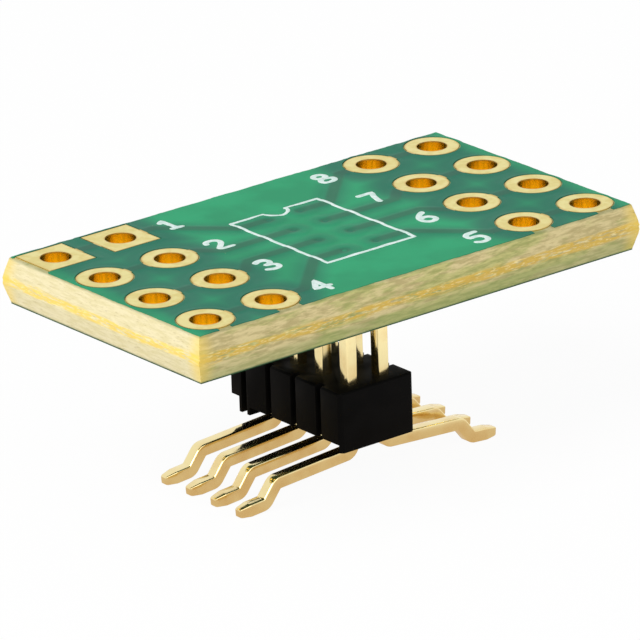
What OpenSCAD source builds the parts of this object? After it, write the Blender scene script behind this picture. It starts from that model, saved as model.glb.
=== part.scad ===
// Adapter from 2.54 mm programming pins to the lands of a wide eight-lead chip:
// a V-scored two-layer board on a two-row 1.27 mm header with gull-wing legs.
// Millimetres. The feet stand on z = 0, X runs along the board, and the holes'
// first row lies at the back, towards +Y.

/* [Board] */
// Thickness of the bare glass-epoxy laminate
laminate_t = 1.5; // [0.8:0.1:2.4]
// Distance from the outermost hole centres to the snapped edge
edge_margin = 1.235; // [1.2:0.01:4]
// Height of the web that was left between the V-scores and snapped
web_t = 0.17; // [0.1:0.01:0.4]
// Lean of each V-score wall from the vertical, in degrees
score_angle = 16; // [12:1:17]

/* [Holes] */
// Pitch of the plated holes along and across the board
hole_pitch = 2.54; // [2.4:0.02:2.8]
// Distance between the two inner columns of holes
inner_span = 10.16; // [9.6:0.02:16]
// Finished diameter of a plated hole
hole_d = 1.0; // [0.8:0.02:1.1]
// Diameter of a round pad, and side of a square one
pad_d = 1.78; // [1.5:0.02:1.82]
// Copper on the wall of a plated hole
plating_t = 0.03; // [0.02:0.005:0.04]

/* [Copper and mask] */
// Thickness of the copper on each face of the laminate
copper_t = 0.035; // [0.02:0.005:0.07]
// Width of a trace
trace_w = 0.4; // [0.2:0.02:0.5]
// Distance from an inner pad's centre to the jog of an outer row's trace
outer_breakout = 1.33; // [1.1:0.01:1.5]
// Distance from an inner pad's centre to the jog of an inner row's trace
inner_breakout = 0.98; // [0.92:0.01:1.5]
// Thickness of the solder mask film
mask_t = 0.02; // [0.01:0.005:0.03]
// Gap between a pad and the mask around it
mask_gap = 0.05; // [0.02:0.005:0.07]
// Finished diameter of a header hole
header_hole_d = 0.66; // [0.64:0.01:0.7]
// Diameter of a header hole's pads
header_pad_d = 0.94; // [0.9:0.01:1.0]
// How far the tenting mask reaches down into a header hole
tent_depth = 0.1; // [0.08:0.01:0.15]
// Width of the dimple where the tenting mask sags
dimple_d = 0.42; // [0.2:0.01:0.5]
// Depth of that dimple
dimple_depth = 0.07; // [0.03:0.005:0.09]

/* [Header] */
// Pitch of the contacts along and across the header
contact_pitch = 1.27; // [1.2:0.01:1.4]
// Height of the insulator block
insulator_h = 1.73; // [1.2:0.01:3]
// Width of the insulator across its two rows
insulator_w = 3.02; // [2.3:0.01:3.2]
// Insulator in front of the first contact's centre
front_over = 0.615; // [0.5:0.005:1]
// Insulator behind the last contact's centre
back_over = 1.265; // [1.15:0.005:1.4]
// Width of a groove in the insulator's long sides
groove_w = 0.26; // [0.1:0.01:0.5]
// Depth of those grooves
groove_depth = 0.25; // [0.1:0.01:0.3]
// Distance from each contact back to the groove behind it
groove_shift = 0.49; // [0.3:0.005:0.6]
// Chamfer on the insulator's upright corners
corner_chamfer = 0.13; // [0.05:0.01:0.2]
// Chamfer round the insulator's top
top_chamfer = 0.06; // [0.02:0.01:0.15]
// Depth of the standoff bars under the insulator
bar_h = 0.27; // [0.1:0.01:0.4]
// Length of the rest of a standoff bar at the sawn front end
front_bar_l = 0.12; // [0.05:0.01:0.25]
// Length of the whole standoff bar near the back end
back_bar_l = 0.53; // [0.2:0.01:0.55]
// Length of the shallow step at the back end
back_step_l = 0.51; // [0.1:0.01:0.6]
// Height of that step above the insulator's underside
back_step_h = 0.25; // [0.1:0.01:0.5]

/* [Contacts] */
// Side of the square wire
wire = 0.41; // [0.3:0.01:0.44]
// Clearance round each contact in the insulator, which grips it
contact_fit = 0; // [0:0.005:0.02]
// Gap between the top of the insulator and the board's lower pads
board_gap = 2.9; // [1:0.01:5]
// Laminate left above a contact's upper end
tail_cover = 0.2; // [0.16:0.01:0.4]
// Straight wire between the insulator's underside and the first bend
shaft_l = 0.27; // [0.25:0.01:1]
// Radius of the bend between shaft and arm, measured to the middle of the wire
bend_r = 0.3; // [0.25:0.01:0.6]
// Length of the straight arm
arm_l = 2.71; // [1.5:0.01:5]
// Slope of the arm below the horizontal, in degrees
arm_slope = 3.8; // [0:0.1:12]
// Radius of the bend between arm and drop
knee_r = 0.25; // [0.23:0.01:0.6]
// Length of the straight drop
drop_l = 0.5; // [0.05:0.01:0.8]
// Slope of the drop below the horizontal, in degrees
drop_slope = 52; // [30:1:70]
// Radius of the bend between drop and foot
heel_r = 0.28; // [0.23:0.01:0.6]
// Straight length of the foot, up to its tapered tip
foot_l = 0.5; // [0.3:0.01:2]
// Slope of the foot below the horizontal, in degrees
foot_slope = 4.5; // [0:0.5:10]
// Length of the tapered tip
tip_l = 0.42; // [0.2:0.01:0.8]
// Side of the square at the tip's end
tip_w = 0.28; // [0.2:0.01:0.3]

/* [Solder] */
// Radius of the solder fillet round a contact under the board
fillet_r = 0.13; // [0.05:0.005:0.15]
// Thickness of the solder's rim on the pad
fillet_rim = 0.02; // [0.01:0.005:0.04]

/* [Hidden] */
// Rows of holes, and contacts in each of the header's two rows
rows = 4;
circuits = 2 * rows;
$fn = 48;

// Extra length of a cut past the faces that it goes through
cut = 0.5;

// Plan of the board, with its columns of holes at inner_x and outer_x
inner_x = inner_span / 2;
outer_x = inner_x + hole_pitch;
board_l = 2 * (outer_x + edge_margin);
board_w = (rows - 1) * hole_pitch + 2 * edge_margin;
score_inset = (laminate_t - web_t) / 2 * tan(score_angle);
face_l = board_l - 2 * score_inset;
face_w = board_w - 2 * score_inset;
contact_x = contact_pitch / 2;

// Heights above the floor, from the feet up
leg_drop = bend_r * cos(arm_slope)
    + arm_l * sin(arm_slope)
    + knee_r * (cos(arm_slope) - cos(drop_slope))
    + drop_l * sin(drop_slope)
    + heel_r * (cos(foot_slope) - cos(drop_slope))
    + foot_l * sin(foot_slope)
    + max(
        wire / 2 * cos(foot_slope),
        tip_l * sin(foot_slope) + tip_w / 2 * cos(foot_slope)
    );
insulator_z = leg_drop + shaft_l;
insulator_top = insulator_z + insulator_h;
lower_pad_z = insulator_top + board_gap;
laminate_z = lower_pad_z + copper_t;
laminate_top = laminate_z + laminate_t;
upper_pad_z = laminate_top + copper_t;
contact_top = laminate_top - tail_cover;

// Ends of the insulator, which is cut from a longer strip
front_y = -(rows - 1) / 2 * contact_pitch - front_over;
back_y = (rows - 1) / 2 * contact_pitch + back_over;

// Half the diagonal of the wire, and the solder round it
wire_corner = wire / sqrt(2);
solder_r = wire_corner + fillet_rim + fillet_r;

// Radius of the sphere that a dimple is cut with
dimple_r = (dimple_d * dimple_d / 4 + dimple_depth * dimple_depth) / (2 * dimple_depth);

// Circuits 1 to rows run down the left side, the others up the right side
function side(k) = k <= rows ? -1 : 1;
function row_place(k) = (rows - 1) / 2 - (k <= rows ? k - 1 : circuits - k);
function hole_y(k) = row_place(k) * hole_pitch;
function contact_y(k) = row_place(k) * contact_pitch;
function breakout(k) = abs(row_place(k)) > 1 ? outer_breakout : inner_breakout;
function jog_x(k) = inner_x - breakout(k);
function jog_end_x(k) = jog_x(k) - abs(hole_y(k) - contact_y(k));
function trace_route(k) = [
    [side(k) * outer_x, hole_y(k)],
    [side(k) * jog_x(k), hole_y(k)],
    [side(k) * jog_end_x(k), contact_y(k)],
    [side(k) * contact_x, contact_y(k)]
];

// Outline of a mitred stroke of width w along route p
function heading(p, i) = (p[i + 1] - p[i]) / norm(p[i + 1] - p[i]);
function across(v) = [-v[1], v[0]];
function mitre(p, i) =
    i == 0 ? across(heading(p, 0)) :
    i == len(p) - 1 ? across(heading(p, i - 1)) :
    (across(heading(p, i - 1)) + across(heading(p, i)))
        / (1 + heading(p, i - 1) * heading(p, i));
function stroke(p, w) = concat(
    [for (i = [0:len(p) - 1]) p[i] + w / 2 * mitre(p, i)],
    [for (i = [len(p) - 1:-1:0]) p[i] - w / 2 * mitre(p, i)]
);

// Octagon of a plate of half width w and height h whose edge is V-scored
function scored_profile(w, h) = [
    [-w + score_inset, 0], [w - score_inset, 0],
    [w, (h - web_t) / 2], [w, (h + web_t) / 2],
    [w - score_inset, h], [-w + score_inset, h],
    [-w, (h + web_t) / 2], [-w, (h - web_t) / 2]
];

// Extrusions of a section that is drawn as seen along Y, or along X
module along_y(length) {
    rotate([90, 0, 0]) linear_extrude(length, center = true) children();
}

module along_x(length) {
    rotate([90, 0, 90]) linear_extrude(length, center = true) children();
}

// Puts its children on both plated holes of circuit k
module on_holes(k) {
    for (x = [inner_x, outer_x]) translate([side(k) * x, hole_y(k)]) children();
}

// Puts its children on the header hole of circuit k
module on_contact(k) {
    translate([side(k) * contact_x, contact_y(k)]) children();
}

// Pad outline, square on the first circuit, grown all round by grow
module pad_2d(k, grow = 0) {
    if (k == 1) square(pad_d + 2 * grow, center = true);
    else circle(d = pad_d + 2 * grow);
}

// Trace and header pad of circuit k, grown all round by grow
module routed_2d(k, grow = 0) {
    polygon(stroke(trace_route(k), trace_w + 2 * grow));
    on_contact(k) circle(d = header_pad_d + 2 * grow);
}

module laminate() {
    color([0.80, 0.72, 0.44])
    difference() {
        translate([0, 0, laminate_z])
        intersection() {
            along_y(board_w) polygon(scored_profile(board_l / 2, laminate_t));
            along_x(board_l) polygon(scored_profile(board_w / 2, laminate_t));
        }
        for (k = [1:circuits]) {
            on_holes(k) drilled(hole_d / 2 + plating_t);
            on_contact(k) drilled(header_hole_d / 2 + plating_t);
        }
    }
}

// Round cut of radius r through the whole board
module drilled(r) {
    translate([0, 0, lower_pad_z - cut])
        cylinder(r = r, h = laminate_t + 2 * copper_t + 2 * cut);
}

// One continuous plated piece: two plated holes, their trace and a header hole
module copper_net(k) {
    color([0.90, 0.76, 0.36])
    difference() {
        union() {
            translate([0, 0, laminate_top]) linear_extrude(copper_t) {
                on_holes(k) pad_2d(k);
                routed_2d(k);
            }
            translate([0, 0, lower_pad_z]) linear_extrude(copper_t) {
                on_holes(k) pad_2d(k);
                on_contact(k) circle(d = header_pad_d);
            }
            on_holes(k) barrel(hole_d / 2 + plating_t);
            on_contact(k) barrel(header_hole_d / 2 + plating_t);
        }
        on_holes(k) drilled(hole_d / 2);
        on_contact(k) drilled(header_hole_d / 2);
    }
}

// Round bar of radius r between the outer faces of the copper
module barrel(r) {
    translate([0, 0, lower_pad_z]) cylinder(r = r, h = upper_pad_z - lower_pad_z);
}

// Film over the top: flat on the laminate, raised over the traces, open over the
// pads, and sagging a little into each header hole that it closes
module solder_mask_top() {
    color([0.20, 0.62, 0.46])
    difference() {
        union() {
            translate([0, 0, laminate_top])
                linear_extrude(mask_t) square([face_l, face_w], center = true);
            for (k = [1:circuits]) {
                translate([0, 0, laminate_top])
                    linear_extrude(copper_t + mask_t) routed_2d(k, mask_t);
                on_contact(k) tent();
            }
        }
        for (k = [1:circuits]) {
            mask_relief(k);
            on_contact(k) dimple();
        }
    }
}

// Plug of mask in the upper end of a header hole
module tent() {
    translate([0, 0, laminate_top - tent_depth])
        cylinder(d = header_hole_d, h = tent_depth + copper_t + mask_t);
}

// Shallow round hollow in the top of that plug
module dimple() {
    translate([0, 0, upper_pad_z + mask_t - dimple_depth + dimple_r])
        sphere(r = dimple_r);
}

// What the top film leaves free: the copper that it covers, and the open pads
module mask_relief(k) {
    translate([0, 0, laminate_top - tent_depth])
    linear_extrude(tent_depth + copper_t) difference() {
        routed_2d(k);
        on_contact(k) circle(d = header_hole_d);
    }
    on_holes(k) pad_opening(k);
}

// Opening in either film round the pad of a plated hole
module pad_opening(k) {
    translate([0, 0, lower_pad_z - cut])
        linear_extrude(laminate_t + 2 * copper_t + 2 * cut) pad_2d(k, mask_gap);
}

module solder_mask_bottom() {
    color([0.20, 0.62, 0.46])
    difference() {
        translate([0, 0, laminate_z - mask_t])
            linear_extrude(mask_t) square([face_l, face_w], center = true);
        for (k = [1:circuits]) {
            on_holes(k) pad_opening(k);
            on_contact(k) drilled(header_pad_d / 2 + mask_gap);
        }
    }
}

// Insulator: what its plan, its side view and its end view have in common,
// with a square hole for each contact
module header_insulator() {
    color([0.09, 0.09, 0.09])
    difference() {
        intersection() {
            translate([0, 0, insulator_z - bar_h])
                linear_extrude(insulator_h + bar_h) insulator_plan();
            translate([0, 0, insulator_z])
                along_x(insulator_w) polygon(insulator_side());
            translate([0, (front_y + back_y) / 2, insulator_z])
                along_y(back_y - front_y) polygon(insulator_end());
        }
        for (k = [1:circuits]) on_contact(k)
            translate([0, 0, insulator_z + insulator_h / 2])
                cube([
                    wire + 2 * contact_fit,
                    wire + 2 * contact_fit,
                    insulator_h + 2 * (bar_h + cut)
                ], center = true);
    }
}

// Plan of the insulator, with chamfered corners and the grooves in both sides
module insulator_plan() {
    w = insulator_w / 2;
    c = corner_chamfer;
    difference() {
        polygon([
            [-w + c, front_y], [w - c, front_y], [w, front_y + c],
            [w, back_y - c], [w - c, back_y], [-w + c, back_y],
            [-w, back_y - c], [-w, front_y + c]
        ]);
        for (k = [1:circuits])
            translate([side(k) * w, contact_y(k) + groove_shift])
                square([2 * groove_depth, groove_w], center = true);
    }
}

// Side view of the insulator from its underside up, as Y and Z
function insulator_side() = let (
    step_y = back_y - back_step_l,
    bar_y = step_y - back_bar_l,
    c = top_chamfer
) [
    [front_y, -bar_h], [front_y + front_bar_l, -bar_h],
    [front_y + front_bar_l, 0], [bar_y, 0], [bar_y, -bar_h],
    [step_y, -bar_h], [step_y, back_step_h], [back_y, back_step_h],
    [back_y, insulator_h - c], [back_y - c, insulator_h],
    [front_y + c, insulator_h], [front_y, insulator_h - c]
];

// End view of the insulator, as X and Z
function insulator_end() = let (w = insulator_w / 2, c = top_chamfer) [
    [-w, -bar_h], [w, -bar_h], [w, insulator_h - c],
    [w - c, insulator_h], [-w + c, insulator_h], [-w, insulator_h - c]
];

// Straight wire of a given length, heading down, and what follows it
module run(length) {
    translate([-wire / 2, -wire / 2, -length]) cube([wire, wire, length]);
    translate([0, 0, -length]) children();
}

// Bend of the wire to radius r, outwards if turn is positive, and what follows it
module bend(r, turn) {
    way = turn > 0 ? 1 : -1;
    mirror([way > 0 ? 0 : 1, 0, 0])
    translate([r, 0, 0]) rotate([90, 0, 0]) rotate([0, 0, 180])
        rotate_extrude(angle = abs(turn))
            translate([r - wire / 2, -wire / 2]) square(wire);
    translate([way * r, 0, 0]) rotate([0, -turn, 0])
        translate([-way * r, 0, 0]) children();
}

// Tip of the wire, heading down and tapered on all four sides
module tip() {
    intersection() {
        along_y(wire) tip_2d();
        along_x(wire) tip_2d();
    }
}

// One side of the tip
module tip_2d() {
    polygon([
        [-wire / 2, 0], [-tip_w / 2, -tip_l],
        [tip_w / 2, -tip_l], [wire / 2, 0]
    ]);
}

// Contact: pin, shaft and bend, arm, drop, foot and tip of one bent wire
module contact(k) {
    color([0.88, 0.78, 0.50])
    on_contact(k) translate([0, 0, contact_top])
    mirror([side(k) > 0 ? 0 : 1, 0, 0])
    run(contact_top - leg_drop)
    bend(bend_r, 90 - arm_slope)
    run(arm_l)
    bend(knee_r, arm_slope - drop_slope)
    run(drop_l)
    bend(heel_r, drop_slope - foot_slope)
    run(foot_l)
    tip();
}

// Solder round one contact: the fill of its hole and a fillet under the board
module solder_joint(k) {
    color([0.74, 0.75, 0.76])
    on_contact(k) translate([0, 0, lower_pad_z])
    difference() {
        union() {
            cylinder(d = header_hole_d, h = contact_top - lower_pad_z);
            rotate_extrude() solder_fillet_2d();
        }
        cube([wire, wire, 4 * laminate_t], center = true);
    }
}

// Section of the fillet, hanging under the pad
module solder_fillet_2d() {
    depth = fillet_rim + fillet_r;
    difference() {
        translate([0, -depth]) square([solder_r, depth]);
        translate([solder_r, -depth]) circle(r = fillet_r);
    }
}

laminate();
solder_mask_top();
solder_mask_bottom();
header_insulator();
for (k = [1:circuits]) {
    copper_net(k);
    contact(k);
    solder_joint(k);
}
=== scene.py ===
import logging
import math
from collections.abc import Iterable, Sequence
from dataclasses import dataclass, field
from enum import Enum

import bmesh
import bpy
from mathutils import Matrix, Vector, noise
from mathutils.bvhtree import BVHTree


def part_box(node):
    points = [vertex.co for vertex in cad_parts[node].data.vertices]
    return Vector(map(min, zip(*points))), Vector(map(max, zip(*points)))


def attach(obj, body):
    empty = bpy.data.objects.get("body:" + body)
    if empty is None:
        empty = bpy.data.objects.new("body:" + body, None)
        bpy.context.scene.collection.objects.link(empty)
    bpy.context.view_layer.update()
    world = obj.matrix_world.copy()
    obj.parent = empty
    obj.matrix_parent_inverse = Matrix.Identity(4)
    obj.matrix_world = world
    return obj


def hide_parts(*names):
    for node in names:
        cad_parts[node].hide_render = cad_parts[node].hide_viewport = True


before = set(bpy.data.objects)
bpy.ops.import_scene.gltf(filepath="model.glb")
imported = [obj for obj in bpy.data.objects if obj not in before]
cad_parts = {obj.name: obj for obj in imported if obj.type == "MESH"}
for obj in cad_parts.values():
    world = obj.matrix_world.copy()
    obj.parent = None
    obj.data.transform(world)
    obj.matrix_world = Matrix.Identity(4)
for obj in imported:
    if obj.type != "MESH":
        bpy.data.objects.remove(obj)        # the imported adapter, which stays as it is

# Scene for a chip adapter: a green board with two grids of plated holes on a
# two-row pin header with gull-wing legs. Lengths are written in millimetres,
# as on the drawing of the board, and reach Blender in metres.

LOG = logging.getLogger("adapter")
MM = 0.001

Colour = tuple[float, float, float]
Point = tuple[float, float]


class Side(Enum):
    """Side of the board that a circuit is on, as the sign of its X."""

    LEFT = -1
    RIGHT = 1


class PadShape(Enum):
    """Outline of a pad."""

    ROUND = "round"
    SQUARE = "square"


# ---------------------------------------------------------------- node tools


def set_inputs(node: bpy.types.Node, values: dict[str | int, object]) -> None:
    """Sets a node's input sockets.

    Args:
        node: The node.
        values: Socket name or index, and its value.
    """
    for key, value in values.items():
        if isinstance(value, tuple) and len(value) == 3 and node.inputs[key].type == "RGBA":
            value = (*value, 1.0)
        node.inputs[key].default_value = value


class NodeSheet:
    """A node tree with short calls for adding and linking nodes."""

    def __init__(self, tree: bpy.types.NodeTree) -> None:
        """Keeps the tree.

        Args:
            tree: Tree that the nodes go into.
        """
        self.tree = tree

    def add(
        self,
        kind: str,
        values: dict[str | int, object] | None = None,
        links: dict[str | int, bpy.types.NodeSocket] | None = None,
        **settings: object,
    ) -> bpy.types.Node:
        """Adds a node.

        Args:
            kind: Node type without its ShaderNode prefix.
            values: Values of its input sockets.
            links: Output sockets that feed its inputs.
            settings: Properties of the node.

        Returns:
            The node.
        """
        node = self.tree.nodes.new(f"ShaderNode{kind}")
        for name, value in settings.items():
            setattr(node, name, value)
        set_inputs(node, values or {})
        for key, socket in (links or {}).items():
            self.tree.links.new(socket, node.inputs[key])
        return node

    def math(self, operation: str, a: object, b: object = 0.0, c: object = 0.0) -> bpy.types.NodeSocket:
        """Adds a Math node.

        Args:
            operation: Its operation.
            a: First value or socket.
            b: Second value or socket.
            c: Third value or socket.

        Returns:
            Its result.
        """
        node = self.tree.nodes.new("ShaderNodeMath")
        node.operation = operation
        for i, value in enumerate((a, b, c)):
            if isinstance(value, bpy.types.NodeSocket):
                self.tree.links.new(value, node.inputs[i])
            else:
                node.inputs[i].default_value = value
        return node.outputs[0]

    def ramp(self, source: bpy.types.NodeSocket, low: float, high: float) -> bpy.types.NodeSocket:
        """Maps a value smoothly from 0 at low to 1 at high.

        Args:
            source: The value.
            low: Where the result is 0.
            high: Where the result is 1.

        Returns:
            The mapped value.
        """
        node = self.add("MapRange", {1: low, 2: high, 3: 0.0, 4: 1.0}, {0: source},
                        interpolation_type="SMOOTHSTEP")
        return node.outputs[0]

    def mix(self, factor: object, a: object, b: object) -> bpy.types.NodeSocket:
        """Mixes two colours.

        Args:
            factor: Share of the second colour, a value or a socket.
            a: First colour, a tuple or a socket.
            b: Second colour, a tuple or a socket.

        Returns:
            The mixed colour.
        """
        node = self.tree.nodes.new("ShaderNodeMix")
        node.data_type = "RGBA"
        for i, value in ((0, factor), (6, a), (7, b)):
            if isinstance(value, bpy.types.NodeSocket):
                self.tree.links.new(value, node.inputs[i])
            elif isinstance(value, tuple):
                node.inputs[i].default_value = (*value, 1.0)
            else:
                node.inputs[i].default_value = value
        return node.outputs[2]


def place_in_mm(sheet: NodeSheet) -> bpy.types.NodeSocket:
    """Adds the object coordinates in millimetres.

    Args:
        sheet: Tree that the nodes go into.

    Returns:
        The coordinates.
    """
    coordinates = sheet.add("TexCoord")
    scaled = sheet.add("VectorMath", {3: 1 / MM}, {0: coordinates.outputs["Object"]}, operation="SCALE")
    return scaled.outputs[0]


def new_group(name: str, inputs: Sequence[tuple[str, str, object]],
              outputs: Sequence[tuple[str, str]]) -> tuple[NodeSheet, bpy.types.Node, bpy.types.Node]:
    """Starts a shader node group.

    Args:
        name: Its name.
        inputs: Name, kind of socket and default value of each input.
        outputs: Name and kind of socket of each output.

    Returns:
        Its sheet, its input node and its output node.
    """
    tree = bpy.data.node_groups.new(name, "ShaderNodeTree")
    for label, kind, value in inputs:
        tree.interface.new_socket(label, in_out="INPUT", socket_type=kind).default_value = value
    for label, kind in outputs:
        tree.interface.new_socket(label, in_out="OUTPUT", socket_type=kind)
    return NodeSheet(tree), tree.nodes.new("NodeGroupInput"), tree.nodes.new("NodeGroupOutput")


def grain_group() -> bpy.types.NodeTree:
    """Builds the fine grain that every surface has.

    Returns:
        A group that puts out a height and a slow patchy mask.
    """
    sheet, entry, leave = new_group(
        "fine_grain",
        [("Place", "NodeSocketVector", (0.0, 0.0, 0.0)), ("Grain", "NodeSocketFloat", 20.0),
         ("Patch", "NodeSocketFloat", 1.0)],
        [("Height", "NodeSocketFloat"), ("Mask", "NodeSocketFloat")],
    )
    grain = sheet.add("TexNoise", {"Detail": 4.0, "Roughness": 0.6},
                      {"Vector": entry.outputs["Place"], "Scale": entry.outputs["Grain"]})
    patch = sheet.add("TexNoise", {"Detail": 3.0, "Roughness": 0.5},
                      {"Vector": entry.outputs["Place"], "Scale": entry.outputs["Patch"]})
    sheet.tree.links.new(grain.outputs[0], leave.inputs["Height"])
    sheet.tree.links.new(sheet.ramp(patch.outputs[0], 0.35, 0.65), leave.inputs["Mask"])
    return sheet.tree


@dataclass(frozen=True)
class Finish:
    """What every finish of the adapter has."""

    name: str
    roughness: float = 0.5
    grain: float = 20.0
    patch: float = 1.0
    bump: float = 0.1
    bump_depth: float = 0.01

    def start(self, grain: bpy.types.NodeTree) -> tuple[bpy.types.Material, NodeSheet, bpy.types.Node, bpy.types.Node]:
        """Starts the material.

        Args:
            grain: Group of the fine grain.

        Returns:
            The material, its sheet, its shader and its grain node.
        """
        material = bpy.data.materials.new(self.name)
        material.use_nodes = True
        sheet = NodeSheet(material.node_tree)
        shader = material.node_tree.nodes["Principled BSDF"]
        shader.inputs["Roughness"].default_value = self.roughness
        node = sheet.add("Group", node_tree=grain)
        set_inputs(node, {"Grain": self.grain, "Patch": self.patch})
        sheet.tree.links.new(place_in_mm(sheet), node.inputs["Place"])
        bump = sheet.add("Bump", {"Strength": self.bump, "Distance": self.bump_depth * MM},
                         {"Height": node.outputs["Height"]})
        sheet.tree.links.new(bump.outputs[0], shader.inputs["Normal"])
        return material, sheet, shader, node

    def roughen(self, sheet: NodeSheet, shader: bpy.types.Node, mask: bpy.types.NodeSocket, spread: float) -> None:
        """Lets the roughness vary over the surface.

        Args:
            sheet: The material's sheet.
            shader: Its shader.
            mask: Value from 0 to 1 that it varies with.
            spread: Difference between its ends.
        """
        value = sheet.math("MULTIPLY_ADD", mask, spread, self.roughness - spread / 2)
        sheet.tree.links.new(value, shader.inputs["Roughness"])


@dataclass(frozen=True)
class MetalFinish(Finish):
    """Plated or soldered metal."""

    pale: Colour = (0.9, 0.75, 0.4)
    deep: Colour = (0.8, 0.6, 0.25)
    spread: float = 0.12

    def build(self, grain: bpy.types.NodeTree) -> bpy.types.Material:
        """Builds the material.

        Args:
            grain: Group of the fine grain.

        Returns:
            The material.
        """
        material, sheet, shader, node = self.start(grain)
        shader.inputs["Metallic"].default_value = 1.0
        sheet.tree.links.new(sheet.mix(node.outputs["Mask"], self.pale, self.deep), shader.inputs["Base Color"])
        self.roughen(sheet, shader, node.outputs["Mask"], self.spread)
        return material


@dataclass(frozen=True)
class PadFinish(MetalFinish):
    """Gold flash of the pads, with a painted reflection down in the barrels, amber in place of the gold, and brown
    along the rims.
    """

    # Amber of the barrels: painted reflection, a warmer gold that stands in for light bounced round the plated hole.
    amber: Colour = (1.00, 0.79, 0.18)
    rim: Colour = (0.62, 0.38, 0.09)
    shape: PadShape = PadShape.ROUND
    top: float = 0.0
    bottom: float = 0.0
    pitch: float = 2.54
    inner_x: float = 5.08
    half: float = 0.89
    hole_r: float = 0.5
    barrel_roughness: float = 0.17

    def rims(self, sheet: NodeSheet, place: bpy.types.NodeSocket) -> bpy.types.NodeSocket:
        """Finds the thin rims round a pad and round its hole.

        Args:
            sheet: The material's sheet.
            place: Object coordinates in millimetres.

        Returns:
            1 on a rim and 0 off it.
        """
        split = sheet.add("SeparateXYZ", links={0: place})
        x = sheet.math("ABSOLUTE", split.outputs[0])
        u = sheet.math("WRAP", sheet.math("SUBTRACT", x, self.inner_x), self.pitch / 2, -self.pitch / 2)
        v = sheet.math("WRAP", sheet.math("SUBTRACT", split.outputs[1], self.pitch / 2),
                       self.pitch / 2, -self.pitch / 2)
        away = sheet.math("SQRT", sheet.math("ADD", sheet.math("MULTIPLY", u, u), sheet.math("MULTIPLY", v, v)))
        reach = away
        if self.shape is PadShape.SQUARE:
            reach = sheet.math("MAXIMUM", sheet.math("ABSOLUTE", u), sheet.math("ABSOLUTE", v))
        outer = sheet.ramp(reach, self.half - 0.075, self.half - 0.005)
        lip = sheet.ramp(away, self.hole_r + 0.055, self.hole_r + 0.005)
        grid = sheet.ramp(x, self.inner_x - 1.2, self.inner_x - 1.1)
        return sheet.math("MULTIPLY", sheet.math("MAXIMUM", outer, lip), grid)

    def build(self, grain: bpy.types.NodeTree) -> bpy.types.Material:
        """Builds the material.

        Args:
            grain: Group of the fine grain.

        Returns:
            The material.
        """
        material, sheet, shader, node = self.start(grain)
        shader.inputs["Metallic"].default_value = 1.0
        place = place_in_mm(sheet)
        plate = sheet.mix(node.outputs["Mask"], self.pale, self.deep)
        plate = sheet.mix(sheet.math("MULTIPLY", self.rims(sheet, place), 0.6), plate, self.rim)
        height = sheet.add("SeparateXYZ", links={0: place}).outputs[2]
        # Painted reflection: the barrel walls take amber in place of the pad gold, standing in for light bounced round
        # the plated hole.
        below_top = sheet.ramp(sheet.math("SUBTRACT", self.top, height), 0.0, 0.08)
        above_bottom = sheet.ramp(sheet.math("SUBTRACT", height, self.bottom), 0.0, 0.08)
        inside = sheet.math("MULTIPLY", below_top, above_bottom)
        sheet.tree.links.new(sheet.mix(inside, plate, self.amber), shader.inputs["Base Color"])
        bump = shader.inputs["Normal"].links[0].from_node
        strength = sheet.math("MULTIPLY_ADD", inside, -self.bump, self.bump)
        sheet.tree.links.new(strength, bump.inputs["Strength"])
        flat = sheet.math("MULTIPLY_ADD", node.outputs["Mask"], self.spread, self.roughness - self.spread / 2)
        change = sheet.math("SUBTRACT", self.barrel_roughness, flat)
        sheet.tree.links.new(sheet.math("MULTIPLY_ADD", inside, change, flat), shader.inputs["Roughness"])
        return material


@dataclass(frozen=True)
class MaskFinish(Finish):
    """Green solder mask, darker and bluer where copper lies near."""

    bare: Colour = (0.030, 0.370, 0.170)
    bare_patch: Colour = (0.036, 0.310, 0.150)
    covered: Colour = (0.032, 0.180, 0.116)
    over_trace: Colour = (0.045, 0.115, 0.080)
    specular: float = 0.03

    def build(self, grain: bpy.types.NodeTree) -> bpy.types.Material:
        """Builds the material.

        Args:
            grain: Group of the fine grain.

        Returns:
            The material.
        """
        material, sheet, shader, node = self.start(grain)
        shader.inputs["Specular IOR Level"].default_value = self.specular
        base = sheet.mix(node.outputs["Mask"], self.bare, self.bare_patch)
        near = sheet.add("Attribute", attribute_name="copper_near")
        under = sheet.add("Attribute", attribute_name="copper_under")
        toned = sheet.mix(near.outputs["Fac"], base, self.covered)
        toned = sheet.mix(sheet.math("MULTIPLY", under.outputs["Fac"], 0.55), toned, self.over_trace)
        sheet.tree.links.new(toned, shader.inputs["Base Color"])
        self.roughen(sheet, shader, node.outputs["Mask"], 0.1)
        return material


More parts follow.
